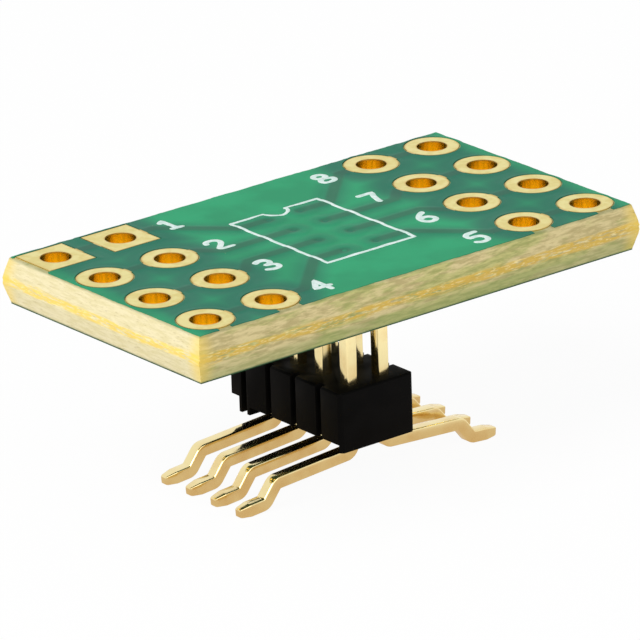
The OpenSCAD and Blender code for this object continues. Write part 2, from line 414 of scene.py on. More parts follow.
@dataclass(frozen=True)
class LaminateFinish(Finish):
    """Snapped glass-epoxy edge: long layers of cloth, golden in the torn middle, with painted light: the end faces
    lighter than the long faces, and the long faces lighter towards the board's ends.
    """

    bottom: float = 0.0
    top: float = 1.0
    end_lit_ivory: Colour = (0.82, 0.73, 0.46)
    end_lit_cream: Colour = (0.74, 0.65, 0.36)
    tan: Colour = (0.58, 0.55, 0.22)
    khaki: Colour = (0.38, 0.39, 0.135)
    golden: Colour = (0.93, 0.67, 0.13)
    amber: Colour = (0.74, 0.49, 0.09)
    moss: Colour = (0.29, 0.37, 0.13)
    umber: Colour = (0.42, 0.31, 0.12)
    # Sand and clay: lit copies of tan and khaki, for the painted light towards the board's ends.
    lit_sand: Colour = (0.74, 0.62, 0.32)
    lit_clay: Colour = (0.52, 0.43, 0.20)
    straw: Colour = (0.95, 0.82, 0.42)
    shade: Colour = (0.05, 0.16, 0.08)
    corner_x: float = 8.855
    corner_y: float = 5.045

    def streaks(self, sheet: NodeSheet, place: bpy.types.NodeSocket, along: float, across: float,
                detail: float) -> bpy.types.NodeSocket:
        """Draws noise out along the layers of cloth.

        Args:
            sheet: The material's sheet.
            place: Object coordinates in millimetres.
            along: Its scale along the board.
            across: Its scale through the board.
            detail: Its octaves.

        Returns:
            The noise.
        """
        flat = sheet.add("VectorMath", {1: (along, along, across)}, {0: place}, operation="MULTIPLY")
        noise_node = sheet.add("TexNoise", {"Scale": 1.0, "Detail": detail, "Roughness": 0.6},
                               {"Vector": flat.outputs[0]})
        return noise_node.outputs[0]

    def build(self, grain: bpy.types.NodeTree) -> bpy.types.Material:
        """Builds the material.

        Args:
            grain: Group of the fine grain.

        Returns:
            The material.
        """
        material, sheet, shader, node = self.start(grain)
        place = place_in_mm(sheet)
        x, y, z = sheet.add("SeparateXYZ", links={0: place}).outputs
        # Painted light: faces towards ±X take the lighter ivory and cream, the long faces the darker tan and khaki, as
        # lit and shaded copies of one laminate.
        facing = sheet.add("SeparateXYZ", links={0: sheet.add("TexCoord").outputs["Normal"]})
        end_face_lit = sheet.ramp(sheet.math("ABSOLUTE", facing.outputs[0]), 0.4, 0.8)
        long_face = sheet.math("SUBTRACT", 1.0, end_face_lit)
        slow = self.streaks(sheet, place, 0.35, 3.0, 2.0)
        hue = self.streaks(sheet, place, 0.55, 2.6, 3.0)
        speck = self.streaks(sheet, place, 1.7, 10.0, 4.0)
        thread = self.streaks(sheet, place, 1.9, 15.0, 3.0)
        fibre = self.streaks(sheet, place, 4.5, 32.0, 2.0)
        fleck = self.streaks(sheet, place, 3.4, 20.0, 2.0)
        share = sheet.math("DIVIDE", sheet.math("SUBTRACT", z, self.bottom), self.top - self.bottom)
        wavy = sheet.math("MULTIPLY_ADD", sheet.math("SUBTRACT", slow, 0.5), 0.26, share)
        # Painted light: the long faces get lighter towards the board's ends, painted as a shift from khaki and tan to
        # the lighter clay and sand, mixed with random hue.
        hue_and_painted_light = sheet.math("MULTIPLY_ADD", sheet.ramp(sheet.math("ABSOLUTE", x), 2.0, 7.5), 0.12, hue)
        hue_and_painted_light = sheet.ramp(hue_and_painted_light, 0.44, 0.62)
        dark = sheet.mix(hue_and_painted_light, self.khaki, self.lit_clay)
        pale = sheet.mix(hue_and_painted_light, self.tan, self.lit_sand)
        body = sheet.mix(sheet.ramp(speck, 0.36, 0.62), sheet.mix(end_face_lit, dark, self.end_lit_cream),
                         sheet.mix(end_face_lit, pale, self.end_lit_ivory))
        body = sheet.mix(sheet.math("MULTIPLY", sheet.ramp(fibre, 0.56, 0.74), 0.38), body, self.umber)
        low = sheet.math("MULTIPLY", sheet.ramp(wavy, 0.36, 0.14), sheet.math("MULTIPLY", long_face, 0.45))
        body = sheet.mix(low, body, self.moss)
        band = sheet.math("MULTIPLY", sheet.ramp(wavy, 0.36, 0.44), sheet.ramp(wavy, 0.66, 0.58))
        torn = sheet.math("MULTIPLY", band, sheet.ramp(thread, 0.37, 0.52))
        # Painted light: the torn band is golden on the lit end faces and amber on the long faces.
        body = sheet.mix(sheet.math("MULTIPLY", torn, 0.9), body, sheet.mix(end_face_lit, self.amber, self.golden))
        bright = sheet.math("MULTIPLY", band, sheet.ramp(fleck, 0.53, 0.64))
        body = sheet.mix(sheet.math("MULTIPLY", bright, 0.6), body, self.straw)
        corner = sheet.math("MULTIPLY", sheet.ramp(sheet.math("ABSOLUTE", x), self.corner_x - 0.8, self.corner_x - 0.05),
                            sheet.ramp(sheet.math("ABSOLUTE", y), self.corner_y - 0.8, self.corner_y - 0.05))
        body = sheet.mix(sheet.math("MULTIPLY", corner, 0.65), body, self.golden)
        foot = sheet.math("MULTIPLY", sheet.ramp(share, 0.045, 0.0), 0.75)
        body = sheet.mix(foot, body, self.shade)
        head = sheet.math("MULTIPLY", sheet.ramp(share, 0.94, 1.0), 0.3)
        body = sheet.mix(head, body, self.shade)
        sheet.tree.links.new(body, shader.inputs["Base Color"])
        shader.inputs["Specular IOR Level"].default_value = 0.2
        relief = sheet.math("ADD", sheet.math("MULTIPLY", speck, 0.6), sheet.math("MULTIPLY", fibre, 0.4))
        bump = sheet.add("Bump", {"Strength": 0.6, "Distance": 0.03 * MM}, {"Height": relief})
        sheet.tree.links.new(bump.outputs[0], shader.inputs["Normal"])
        return material


@dataclass(frozen=True)
class PlainFinish(Finish):
    """Moulded plastic or printed ink in two near tones."""

    tone: Colour = (0.5, 0.5, 0.5)
    other: Colour = (0.45, 0.45, 0.45)
    specular: float = 0.4

    def build(self, grain: bpy.types.NodeTree) -> bpy.types.Material:
        """Builds the material.

        Args:
            grain: Group of the fine grain.

        Returns:
            The material.
        """
        material, sheet, shader, node = self.start(grain)
        shader.inputs["Specular IOR Level"].default_value = self.specular
        sheet.tree.links.new(sheet.mix(node.outputs["Mask"], self.tone, self.other), shader.inputs["Base Color"])
        self.roughen(sheet, shader, node.outputs["Mask"], 0.12)
        return material


# ---------------------------------------------------------------- mesh tools


def object_from(bm: bmesh.types.BMesh, name: str, material: bpy.types.Material,
                sharp: float = 32.0) -> bpy.types.Object:
    """Turns a bmesh in millimetres into a smooth object in metres.

    Args:
        bm: The bmesh, which is freed.
        name: Name of the object.
        material: Its material.
        sharp: Angle in degrees above which an edge stays sharp.

    Returns:
        The object.
    """
    bmesh.ops.transform(bm, matrix=Matrix.Scale(MM, 4), verts=bm.verts)
    mesh = bpy.data.meshes.new(name)
    bm.to_mesh(mesh)
    bm.free()
    mesh.shade_smooth()
    mesh.set_sharp_from_angle(angle=math.radians(sharp))
    mesh.materials.append(material)
    piece = bpy.data.objects.new(name, mesh)
    bpy.context.scene.collection.objects.link(piece)
    return piece


def bmesh_of_node(name: str, merge: float = 0.001) -> bmesh.types.BMesh:
    """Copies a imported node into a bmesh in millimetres, with its doubles merged.

    Args:
        name: The node.
        merge: Distance within which vertices merge, in millimetres.

    Returns:
        The bmesh.
    """
    bm = bmesh.new()
    bm.from_mesh(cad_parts[name].data)
    bmesh.ops.transform(bm, matrix=Matrix.Scale(1 / MM, 4), verts=bm.verts)
    bmesh.ops.remove_doubles(bm, verts=bm.verts, dist=merge)
    return bm


def dress(node: str, material: bpy.types.Material) -> None:
    """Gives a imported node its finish.

    Args:
        node: The node.
        material: The material.
    """
    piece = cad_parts[node]
    if not piece.material_slots:
        raise LookupError(f"{node} has no material slot")
    for place in piece.material_slots:
        place.link = "OBJECT"
        place.material = material
    LOG.info("dressed %s", node)


def settle(piece: bpy.types.Object, nodes: Sequence[str] = ()) -> bpy.types.Object:
    """Makes a new piece ride on the adapter.

    Args:
        piece: The piece.
        nodes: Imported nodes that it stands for.

    Returns:
        The piece.
    """
    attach(piece, "root")
    if nodes:
        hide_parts(*nodes)
    LOG.info("made %s, %d faces", piece.name, len(piece.data.polygons))
    return piece


# ------------------------------------------------------------------- circuits


@dataclass(frozen=True)
class Circuit:
    """One circuit of the board: two plated holes, a trace and a contact."""

    number: int
    rows: int = 4
    hole_pitch: float = 2.54
    contact_pitch: float = 1.27
    inner_x: float = 5.08
    outer_x: float = 7.62
    outer_breakout: float = 1.33
    inner_breakout: float = 0.98

    @property
    def side(self) -> Side:
        """Side of the board that the circuit is on."""
        return Side.LEFT if self.number <= self.rows else Side.RIGHT

    @property
    def row(self) -> float:
        """Place of its row from the middle, in rows."""
        middle = (self.rows - 1) / 2
        return middle - (self.number - 1 if self.side is Side.LEFT else 2 * self.rows - self.number)

    @property
    def hole_y(self) -> float:
        """Y of its plated holes."""
        return self.row * self.hole_pitch

    @property
    def contact(self) -> Point:
        """X and Y of its contact."""
        return self.side.value * self.contact_pitch / 2, self.row * self.contact_pitch

    @property
    def pad_shape(self) -> PadShape:
        """Shape of its pads, square on the first circuit."""
        return PadShape.SQUARE if self.number == 1 else PadShape.ROUND

    def holes(self) -> list[Point]:
        """Gives X and Y of its two plated holes."""
        return [(self.side.value * x, self.hole_y) for x in (self.inner_x, self.outer_x)]

    def route(self) -> list[Point]:
        """Gives the corners of its trace, from the outer hole to the contact."""
        s = self.side.value
        jog = self.inner_x - (self.outer_breakout if abs(self.row) > 1 else self.inner_breakout)
        x, y = self.contact
        return [(s * self.outer_x, self.hole_y), (s * jog, self.hole_y),
                (s * (jog - abs(self.hole_y - y)), y), (x, y)]


def distance_to_route(p: Point, route: Sequence[Point]) -> float:
    """Measures how far a point is from a route.

    Args:
        p: The point.
        route: Corners of the route.

    Returns:
        The distance.
    """
    best = math.inf
    for (ax, ay), (bx, by) in zip(route, route[1:]):
        dx, dy = bx - ax, by - ay
        t = ((p[0] - ax) * dx + (p[1] - ay) * dy) / (dx * dx + dy * dy)
        t = min(1.0, max(0.0, t))
        best = min(best, math.hypot(p[0] - ax - t * dx, p[1] - ay - t * dy))
    return best


def smooth_step(value: float, low: float, high: float) -> float:
    """Eases a value from 0 at low to 1 at high.

    Args:
        value: The value.
        low: Where the result is 0.
        high: Where the result is 1.

    Returns:
        The eased value.
    """
    t = min(1.0, max(0.0, (value - low) / (high - low)))
    return t * t * (3 - 2 * t)


# ---------------------------------------------------------------------- board


@dataclass
class SnappedLaminate:
    """Glass-epoxy board whose scored edge was snapped, with torn cloth in its middle."""

    material: bpy.types.Material
    step: float = 0.11
    layers: int = 14
    scored: float = 0.012
    torn: float = 0.055
    border: float = 0.35

    def inward(self, along: float, side: float, share: float) -> float:
        """Gives how far the edge is torn in at a place.

        Args:
            along: Place along the edge.
            side: Anything that differs from edge to edge.
            share: Height through the board, from 0 to 1.

        Returns:
            The distance, never below 0.
        """
        middle = 1 - smooth_step(abs(share - 0.5), 0.03, 0.16)
        cloth = noise.noise(Vector((along * 0.9, side, share * 16.0)))
        fibre = noise.noise(Vector((along * 4.5, side, share * 30.0)))
        rough = min(1.0, max(0.0, 0.5 + 0.55 * cloth + 0.45 * fibre))
        return rough * (self.scored + (self.torn - self.scored) * middle)

    def build(self) -> bpy.types.Object:
        """Builds the board.

        Returns:
            The piece.
        """
        low, high = ([value / MM for value in corner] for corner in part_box("laminate"))
        bm = bmesh_of_node("laminate")
        edge = [f for f in bm.faces if abs(f.calc_center_median().x) > high[0] - self.border
                or abs(f.calc_center_median().y) > high[1] - self.border]
        edge = [f for f in edge if abs(f.normal.z) < 0.9]
        geom = [*edge, *{e for f in edge for e in f.edges}, *{v for f in edge for v in f.verts}]
        for axis in range(3):
            size = high[axis] - low[axis]
            count = self.layers if axis == 2 else round(size / self.step)
            normal = Vector([float(i == axis) for i in range(3)])
            for i in range(1, count):
                cut = bmesh.ops.bisect_plane(bm, geom=geom, dist=1e-5, plane_no=normal,
                                             plane_co=normal * (low[axis] + size * i / count))
                geom = cut["geom"]
        moves = {}
        for vertex in {v for v in geom if isinstance(v, bmesh.types.BMVert)}:
            share = (vertex.co.z - low[2]) / (high[2] - low[2])
            x, y = vertex.co.x, vertex.co.y
            shift = Vector((0, 0, 0))
            for face in vertex.link_faces:
                if abs(face.normal.x) > 0.7:
                    shift.x = -math.copysign(self.inward(y, math.copysign(3.0, x), share), x)
                if abs(face.normal.y) > 0.7:
                    shift.y = -math.copysign(self.inward(x, math.copysign(7.0, y), share), y)
            moves[vertex] = shift
        for vertex, shift in moves.items():
            vertex.co += shift
        bmesh.ops.recalc_face_normals(bm, faces=bm.faces)
        return settle(object_from(bm, "snapped_board", self.material, 40.0), ["laminate"])


@dataclass
class MaskFilm:
    """Top film of solder mask: a fine sheet with soft ridges over the traces."""

    circuits: Sequence[Circuit]
    material: bpy.types.Material
    length: float
    width: float
    laminate_top: float
    film: float = 0.02
    ridge: float = 0.022
    trace_w: float = 0.4
    slope: float = 0.13
    pad_half: float = 0.94
    header_pad_r: float = 0.47
    dimple_r: float = 0.25
    dimple_depth: float = 0.06
    step: float = 0.075
    trace_glow: float = 0.65
    pad_glow: float = 1.25
    trim: float = 0.06
    pieces: list[bpy.types.Object] = field(default_factory=list)

    def openings(self) -> bpy.types.Object:
        """Makes the cutter of the pad openings.

        Returns:
            An object that holds one plug for each pad.
        """
        bm = bmesh.new()
        for circuit in self.circuits:
            for x, y in circuit.holes():
                turn = Matrix.Translation((x, y, self.laminate_top))
                if circuit.pad_shape is PadShape.SQUARE:
                    bmesh.ops.create_cube(bm, size=2 * self.pad_half, matrix=turn)
                else:
                    bmesh.ops.create_cone(bm, cap_ends=True, segments=64, radius1=self.pad_half,
                                          radius2=self.pad_half, depth=2.0, matrix=turn)
        return object_from(bm, "opening_cutter", self.material)

    def slivers(self) -> bpy.types.Object:
        """Makes the cutter of the narrow strips that broke away between pads and edge.

        Returns:
            An object that holds one block for each strip.
        """
        bm = bmesh.new()
        outer_x, front_y = self.circuits[0].outer_x, self.circuits[3].hole_y
        blocks = [((-outer_x - 0.8, self.circuits[0].hole_y - 0.02), (1.6, 1.84))]
        blocks += [((x, front_y - 0.9), (width, 1.8)) for x, width in (
            (-outer_x, 0.50), (-self.circuits[0].inner_x, 0.9), (self.circuits[0].inner_x, 0.8), (outer_x, 0.62))]
        for (x, y), (width, depth) in blocks:
            place = Matrix.Translation((x, y, self.laminate_top)) @ Matrix.Diagonal((width, depth, 1.0, 1.0))
            bmesh.ops.create_cube(bm, size=1.0, matrix=place)
        return object_from(bm, "sliver_cutter", self.material)

    def slab(self) -> bpy.types.Object:
        """Makes the film as a flat slab with a fine top.

        Returns:
            The slab.
        """
        bm = bmesh.new()
        across, along = round(self.length / self.step), round(self.width / self.step)
        bmesh.ops.create_grid(bm, x_segments=across, y_segments=along, size=0.5)
        bmesh.ops.scale(bm, vec=(self.length, self.width, 1.0), verts=bm.verts)
        bmesh.ops.translate(bm, vec=(0, 0, self.laminate_top + self.film), verts=bm.verts)
        rim = [edge for edge in bm.edges if edge.is_boundary]
        lower = bmesh.ops.extrude_edge_only(bm, edges=rim)["geom"]
        down = [v for v in lower if isinstance(v, bmesh.types.BMVert)]
        bmesh.ops.translate(bm, vec=(0, 0, -self.film), verts=down)
        bmesh.ops.contextual_create(bm, geom=[e for e in lower if isinstance(e, bmesh.types.BMEdge)])
        bmesh.ops.recalc_face_normals(bm, faces=bm.faces)
        return object_from(bm, "mask_film_top", self.material)

    def rise(self, x: float, y: float) -> float:
        """Gives the height of the film's top above its bare level.

        Args:
            x: Place along the board.
            y: Place across it.

        Returns:
            The height, below 0 in a dimple.
        """
        height = 0.0
        for circuit in self.circuits:
            gap = distance_to_route((x, y), circuit.route()) - self.trace_w / 2
            height = max(height, self.ridge * (1 - smooth_step(gap, -self.slope / 3, self.slope)))
            cx, cy = circuit.contact
            away = math.hypot(x - cx, y - cy)
            gap = away - self.header_pad_r
            height = max(height, self.ridge * (1 - smooth_step(gap, -self.slope / 3, self.slope)))
        for circuit in self.circuits:
            lip = 1 - smooth_step(self.to_pad(circuit, x, y), 0.02, self.slope + 0.06)
            height = max(height, self.ridge * lip)
        for circuit in self.circuits:
            cx, cy = circuit.contact
            away = math.hypot(x - cx, y - cy)
            height -= self.dimple_depth * (1 - smooth_step(away, 0.0, self.dimple_r))
        return height

    def to_pad(self, circuit: Circuit, x: float, y: float) -> float:
        """Measures how far a place is from the nearer pad opening of a circuit.

        Args:
            circuit: The circuit.
            x: Place along the board.
            y: Place across it.

        Returns:
            The distance, 0 or less inside the opening.
        """
        best = math.inf
        for hx, hy in circuit.holes():
            if circuit.pad_shape is PadShape.SQUARE:
                best = min(best, max(abs(x - hx), abs(y - hy)) - self.pad_half)
            else:
                best = min(best, math.hypot(x - hx, y - hy) - self.pad_half)
        return best

    def nearness(self, x: float, y: float) -> tuple[float, float]:
        """Gives how near the copper is, and how far a trace lies under a place.

        Args:
            x: Place along the board.
            y: Place across it.

        Returns:
            Two values from 0 to 1.
        """
        near = under = 0.0
        fade = 1 - 0.7 * smooth_step(abs(x), self.length / 2 - 0.75, self.length / 2 - 0.1)
        for circuit in self.circuits:
            gap = distance_to_route((x, y), circuit.route()) - self.trace_w / 2
            under = max(under, 1 - smooth_step(gap, -0.08, 0.06))
            near = max(near, 0.55 * (1 - smooth_step(gap, -0.05, self.trace_glow)),
                       1 - smooth_step(self.to_pad(circuit, x, y), 0.25, self.pad_glow))
        return near * fade, under

    def ragged(self, along: float, side: float) -> float:
        """Gives how far the film's torn edge draws back.

        Args:
            along: Place along the edge.
            side: Anything that differs from edge to edge.

        Returns:
            The distance, never below 0.
        """
        wave = noise.noise(Vector((along * 1.3, side, 0.0))) + 0.5 * noise.noise(Vector((along * 6.0, side, 3.0)))
        return self.trim * min(1.0, max(0.0, 0.5 + 0.6 * wave))

    def build(self) -> bpy.types.Object:
        """Builds the film.

        Returns:
            The piece.
        """
        piece = self.slab()
        cutters = [self.openings(), self.slivers()]
        for cutter in cutters:
            cut = piece.modifiers.new(cutter.name, "BOOLEAN")
            cut.operation, cut.solver, cut.object = "DIFFERENCE", "EXACT", cutter
        graph = bpy.context.evaluated_depsgraph_get()
        cut_mesh = bpy.data.meshes.new_from_object(piece.evaluated_get(graph))
        piece.modifiers.clear()
        piece.data = cut_mesh
        for cutter in cutters:
            bpy.data.objects.remove(cutter)
        near = cut_mesh.attributes.new("copper_near", "FLOAT", "POINT")
        under = cut_mesh.attributes.new("copper_under", "FLOAT", "POINT")
        level = self.laminate_top + self.film
        for vertex in cut_mesh.vertices:
            x, y, z = (value / MM for value in vertex.co)
            near.data[vertex.index].value, under.data[vertex.index].value = self.nearness(x, y)
            if abs(z - level) < self.film / 4:
                vertex.co.z = (level + self.rise(x, y)) * MM
            if abs(x) > self.length / 2 - self.step / 4:
                vertex.co.x -= math.copysign(self.ragged(y, x) * MM, x)
            if abs(y) > self.width / 2 - self.step / 4:
                vertex.co.y -= math.copysign(self.ragged(x, y) * MM, y)
        cut_mesh.shade_smooth()
        cut_mesh.set_sharp_from_angle(angle=math.radians(50))
        self.pieces.append(piece)
        return settle(piece, ["solder_mask_top"])


@dataclass
class PinNumbers:
    """White pin numbers and package outline, printed as fine strokes."""

    material: bpy.types.Material
    surface: bpy.types.Object
    height: float = 1.0
    stroke: float = 0.2
    ink: float = 0.011
    places: dict[str, Point] = field(default_factory=lambda: {
        "1": (-3.2, 3.77), "2": (-3.2, 1.25), "3": (-3.2, -1.3), "4": (-3.2, -3.88),
        "5": (3.1, -3.88), "6": (3.1, -1.32), "7": (3.1, 1.27), "8": (3.1, 3.8),
    })
    # Strokes of each digit in a box from (-0.33, -0.5) to (0.33, 0.5)
    strokes: dict[str, list[list[Point]]] = field(default_factory=lambda: {
        "1": [[(-0.14, 0.28), (0.02, 0.42), (0.02, -0.42)], [(-0.16, -0.42), (0.2, -0.42)]],
        "2": [[(-0.26, 0.24), (-0.2, 0.38), (-0.02, 0.43), (0.18, 0.36), (0.24, 0.2), (0.16, 0.02),
               (-0.06, -0.2), (-0.27, -0.42), (0.27, -0.42)]],
        "3": [[(-0.25, 0.34), (-0.08, 0.43), (0.14, 0.4), (0.23, 0.24), (0.14, 0.07), (-0.05, 0.02)],
              [(-0.05, 0.02), (0.17, -0.04), (0.26, -0.2), (0.16, -0.38), (-0.06, -0.43), (-0.27, -0.33)]],
        "4": [[(0.12, -0.42), (0.12, 0.42), (-0.28, -0.14), (0.27, -0.14)]],
        "5": [[(0.24, 0.42), (-0.19, 0.42), (-0.23, 0.06), (-0.04, 0.12), (0.15, 0.08), (0.25, -0.1),
               (0.22, -0.3), (0.06, -0.42), (-0.13, -0.42), (-0.27, -0.32)]],
        "6": [[(0.2, 0.4), (0.0, 0.3), (-0.18, 0.1), (-0.26, -0.12), (-0.2, -0.34), (0.0, -0.43),
               (0.2, -0.34), (0.25, -0.16), (0.16, 0.02), (-0.02, 0.06), (-0.2, -0.02)]],
        "7": [[(-0.27, 0.42), (0.26, 0.42), (0.08, 0.05), (-0.06, -0.42)]],
        "8": [[(0.0, 0.02), (-0.18, 0.1), (-0.22, 0.26), (-0.1, 0.41), (0.1, 0.41), (0.22, 0.26),
               (0.18, 0.1), (0.0, 0.02), (-0.2, -0.08), (-0.26, -0.24), (-0.14, -0.41), (0.14, -0.41),
               (0.26, -0.24), (0.2, -0.08), (0.0, 0.02)]],
    })

    def line(self, curve: bpy.types.Curve, points: Sequence[Point], at: Point, smooth: bool = True) -> None:
        """Adds one stroke with round ends.

        Args:
            curve: Curve that it goes into.
            points: Its points.
            at: Where its own zero goes.
            smooth: Not used.
        """
        path = [Vector((x + at[0], y + at[1], 0.0)) for x, y in points]
        head = (path[0] - path[1]).normalized()
        tail = (path[-1] - path[-2]).normalized()
        half = self.stroke / 2
        ends = ((1.0, 0.06), (0.86, 0.55), (0.5, 0.87))
        full = [(path[0] + head * half * d, r) for d, r in ends] + [(p, 1.0) for p in path]
        full += [(path[-1] + tail * half * d, r) for d, r in reversed(ends)]
        spline = curve.splines.new("POLY")
        spline.points.add(len(full) - 1)
        for slot, (p, radius) in zip(spline.points, full):
            slot.co = (*p, 1.0)
            slot.radius = radius

    def rounded(self, points: Sequence[Point], passes: int = 2) -> list[Point]:
        """Cuts the corners of a line, twice over.

        Args:
            points: The line's points.
            passes: Times that its corners are cut.

        Returns:
            The rounder line.
        """
        line = [Vector(p) for p in points]
        for _ in range(passes):
            inner = [p for a, b in zip(line, line[1:]) for p in (a.lerp(b, 0.25), a.lerp(b, 0.75))]
            line = [line[0], *inner, line[-1]]
        return [tuple(p) for p in line]

    def print_on(self, curve: bpy.types.Curve, name: str) -> bpy.types.Object:
        """Lays the strokes on the film as a thin bead of ink.

        Args:
            curve: The strokes, in millimetres.
            name: Name of the piece.

        Returns:
            The piece.
        """
        curve.dimensions = "3D"
        curve.bevel_depth = self.stroke / 2
        curve.bevel_resolution = 3
        curve.use_fill_caps = True
        source = bpy.data.objects.new(name, curve)
        bpy.context.scene.collection.objects.link(source)
        graph = bpy.context.evaluated_depsgraph_get()
        bm = bmesh.new()
        bm.from_mesh(source.evaluated_get(graph).to_mesh())
        bpy.data.objects.remove(source)
        bmesh.ops.remove_doubles(bm, verts=bm.verts, dist=0.0005)
        surface = bmesh.new()
        surface.from_mesh(self.surface.data)
        tree = BVHTree.FromBMesh(surface)
        for vertex in bm.verts:
            x, y, z = vertex.co
            found = tree.ray_cast(Vector((x * MM, y * MM, 0.02)), Vector((0, 0, -1)))[0]
            lift = max(-1.0, min(1.0, z / (self.stroke / 2)))
            vertex.co.z = found.z / MM + self.ink * (math.sqrt(lift) if lift > 0 else 0.5 * lift)
        surface.free()
        bmesh.ops.recalc_face_normals(bm, faces=bm.faces)
        return settle(object_from(bm, name, self.material, 80.0))

    def build(self) -> None:
        """Prints the numbers."""
        for digit, at in self.places.items():
            curve = bpy.data.curves.new(f"pin_number_{digit}", "CURVE")
            for points in self.strokes[digit]:
                line = self.rounded(points) if digit in "235680" else list(points)
                self.line(curve, self.split(line), at)
            self.print_on(curve, f"pin_number_{digit}")

    def split(self, points: Sequence[Point], longest: float = 0.06) -> list[Point]:
        """Adds points to a line so that it can follow the film.

        Args:
            points: The line's points.
            longest: Longest step between two points.

        Returns:
            The finer line.
        """
        fine = [Vector(points[0])]
        for p in points[1:]:
            start, end = fine[-1], Vector(p)
            count = max(1, math.ceil((end - start).length / longest))
            fine += [start.lerp(end, i / count) for i in range(1, count + 1)]
        return [tuple(p) for p in fine]


@dataclass
class PackageOutline:
    """Generic outline of the chip package that the legs stand for."""

    numbers: PinNumbers
    half_length: float = 2.45
    half_width: float = 1.75
    notch: float = 0.45
    stroke: float = 0.13

    def build(self) -> None:
        """Prints the outline and its notch."""
        w, h, n = self.half_width, self.half_length, self.notch
        self.numbers.stroke = self.stroke
        curve = bpy.data.curves.new("package_outline", "CURVE")
        frame_line = [(-n, h), (-w, h), (-w, -h), (w, -h), (w, h), (n, h)]
        self.numbers.line(curve, self.numbers.split(frame_line), (0.0, 0.0))
        notch = [(n * math.cos(a), h + n * math.sin(a)) for a in
                 (math.radians(-180 + 15 * i) for i in range(13))]
        self.numbers.line(curve, self.numbers.split(notch), (0.0, 0.0))
        self.numbers.print_on(curve, "package_outline")


# --------------------------------------------------------------------- header


@dataclass
class HeaderBlock:
    """Black insulator of the header, with its moulded edges softened."""

    material: bpy.types.Material
    circuits: Sequence[Circuit]
    radius: float = 0.022
    hole: float = 0.3

    def at_contact(self, place: Vector) -> bool:
        """Tells whether a place lies at one of the contacts' holes.

        Args:
            place: The place.

        Returns:
            Whether it does.
        """
        return any(max(abs(place.x - x), abs(place.y - y)) < self.hole
                   for x, y in (circuit.contact for circuit in self.circuits))

    def build(self) -> bpy.types.Object:
        """Builds the block.

        Returns:
            The piece.
        """
        bm = bmesh_of_node("header_insulator")
        bmesh.ops.dissolve_limit(bm, angle_limit=math.radians(1), verts=bm.verts, edges=bm.edges)
        corners = [e for e in bm.edges if len(e.link_faces) == 2 and e.calc_face_angle() > math.radians(30)
                   and not self.at_contact((e.verts[0].co + e.verts[1].co) / 2)]
        bmesh.ops.bevel(bm, geom=corners, offset=self.radius, offset_type="OFFSET", segments=2, profile=0.5,
                        affect="EDGES", clamp_overlap=True, material=-1)
        bmesh.ops.recalc_face_normals(bm, faces=bm.faces)
        return settle(object_from(bm, "header_block", self.material, 50.0),
                      ["header_insulator"])


